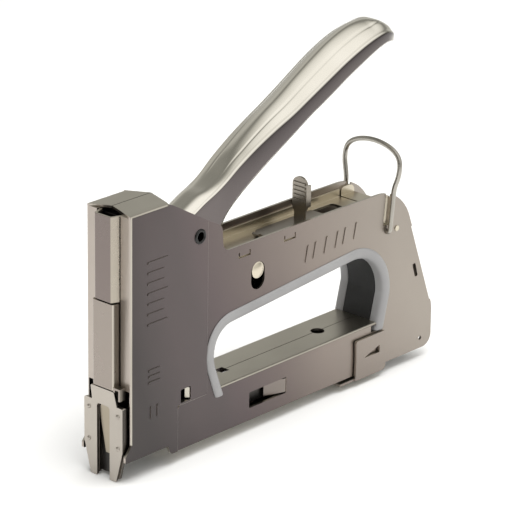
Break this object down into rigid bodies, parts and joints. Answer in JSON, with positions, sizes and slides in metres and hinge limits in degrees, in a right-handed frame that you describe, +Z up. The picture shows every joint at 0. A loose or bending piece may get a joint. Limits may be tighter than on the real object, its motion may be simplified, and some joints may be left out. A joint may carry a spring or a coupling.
{
  "type": "staple gun",
  "caption": "Nickel-plated steel hand staple gun: squeeze handle, spring striker, bottom magazine with rear clip, force slider, wire handle lock and a lined finger window.",
  "frame": {"origin": "where a staple leaves the nose: on the middle plane, in the striker blade's plane, level with the nose tips", "axes": "+X runs from the nose to the rear of the body, +Z up along the head, +Y to the tool's right side"},
  "size_m": [0.1785, 0.03, 0.1473],
  "materials": {
    "nickel_steel": "satin nickel plate",
    "bright_nickel": "bright nickel plate",
    "bail_wire": "drawn spring wire",
    "dark_rivet": "blackened",
    "tool_steel": "plain ground steel",
    "spring_steel": "oiled spring steel",
    "staple_wire": "galvanised wire",
    "black_rubber": "fine moulded texture",
    "pale_trim": "soft-touch light grey moulding"
  },
  "bodies": {
    "frame": {"left_shell": "nickel_steel", "right_shell": "nickel_steel", "front_channel": "nickel_steel", "striker_cover": "nickel_steel", "nose_plate": "nickel_steel", "nose_guide": "nickel_steel", "nose_tongue": "nickel_steel", "deck_plate": "nickel_steel", "bail_bracket": "nickel_steel", "base_plate": "nickel_steel", "handle_pivot": "dark_rivet", "handle_spring": "spring_steel", "lever_fulcrum": "tool_steel", "spring_seat": "tool_steel", "buffer": "black_rubber", "buffer_bracket": "tool_steel", "main_spring": "spring_steel", "grip_trim_left": "pale_trim", "grip_trim_right": "pale_trim", "grip_liner": "black_rubber", "magazine_guides": "tool_steel", "frame_spacers": "nickel_steel"},
    "handle": {"handle": "bright_nickel"},
    "lever": {"lifting_lever": "tool_steel", "lever_pin": "nickel_steel"},
    "striker": {"striker": "tool_steel"},
    "selector": {"force_selector": "nickel_steel", "selector_slider": "tool_steel"},
    "bail": {"wire_bail": "bail_wire"},
    "magazine": {"magazine_channel": "tool_steel", "magazine_rail": "tool_steel", "staple_strip": "staple_wire", "pusher_rod": "tool_steel", "pusher_spring": "spring_steel", "magazine_latch": "nickel_steel"},
    "pusher": {"pusher": "tool_steel"}
  },
  "joints": [
    {"name": "handle_squeeze", "type": "hinge", "parent": "frame", "child": "handle", "pos_m": [0.0361, 0, 0.0873], "axis": [0, 1, 0], "range_deg": [0, 20], "stiffness_Nm_per_rad": 8, "springref_deg": -28.65, "deforming": ["main_spring"]},
    {"name": "lever_rock", "type": "hinge", "parent": "frame", "child": "lever", "pos_m": [0.0551, 0, 0.064], "axis": [0, 1, 0], "range_deg": [0, 17]},
    {"name": "striker_lift", "type": "slide", "parent": "frame", "child": "striker", "axis": [0, 0, 1], "range_m": [0, 0.0128]},
    {"name": "selector_slide", "type": "slide", "parent": "frame", "child": "selector", "axis": [1, 0, 0], "range_m": [0, 0.016]},
    {"name": "bail_swing", "type": "hinge", "parent": "frame", "child": "bail", "pos_m": [0.1445, 0, 0.0608], "axis": [0, 1, 0], "range_deg": [-10, 70]},
    {"name": "magazine_pull", "type": "slide", "parent": "frame", "child": "magazine", "axis": [1, 0, 0], "range_m": [0, 0.1]},
    {"name": "pusher_draw", "type": "slide", "parent": "magazine", "child": "pusher", "axis": [1, 0, 0], "range_m": [0, 0.06], "stiffness_N_per_m": 60, "springref_m": -0.05, "deforming": ["pusher_spring"]}
  ],
  "couplings": [
    {"joint": "lever_rock", "follows": "handle_squeeze", "ratio": 0.84},
    {"joint": "striker_lift", "follows": "handle_squeeze", "m_per_rad": 0.03624}
  ]
}
